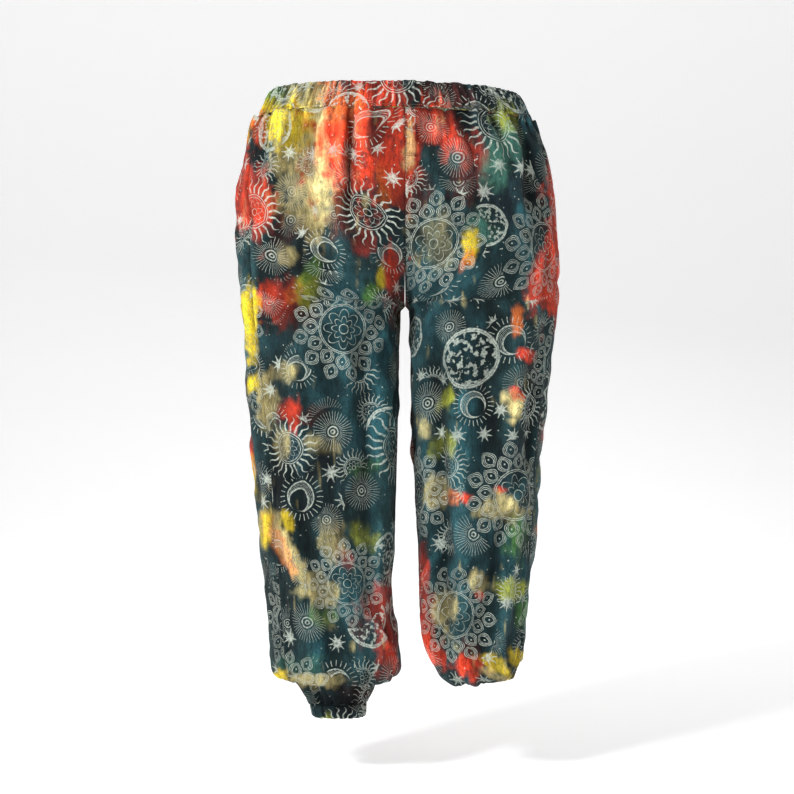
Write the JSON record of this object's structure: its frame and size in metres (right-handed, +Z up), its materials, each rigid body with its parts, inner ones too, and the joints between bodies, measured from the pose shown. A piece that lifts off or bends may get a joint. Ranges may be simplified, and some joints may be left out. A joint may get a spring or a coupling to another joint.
{
  "type": "harem trousers",
  "caption": "Harem trousers in worn form: elastic waist casing, full legs that blouse over elastic cuffs, side seams and a mock fly strip.",
  "frame": {"origin": "in the middle of the waist opening, 5 mm below the casing's top edge at the sides, where the wearer carries the trousers", "axes": "+Z up out of the waist opening; the front faces -Y; the wearer's right leg is towards -X"},
  "size_m": [0.5083, 0.3735, 0.9958],
  "materials": {
    "waist_casing": "matt woven cotton, dyed",
    "front_right": "matt woven cotton, dyed",
    "front_left": "matt woven cotton, dyed",
    "back_right": "matt woven cotton, dyed",
    "back_left": "matt woven cotton, dyed",
    "cuff_right": "matt woven cotton, dyed",
    "cuff_left": "matt woven cotton, dyed",
    "fly_strip": "matt woven cotton, dyed"
  },
  "bodies": {
    "root": {"waist_casing": "waist_casing", "front_right": "front_right", "front_left": "front_left", "back_right": "back_right", "back_left": "back_left", "cuff_right": "cuff_right", "cuff_left": "cuff_left", "fly_strip": "fly_strip"}
  },
  "joints": []
}
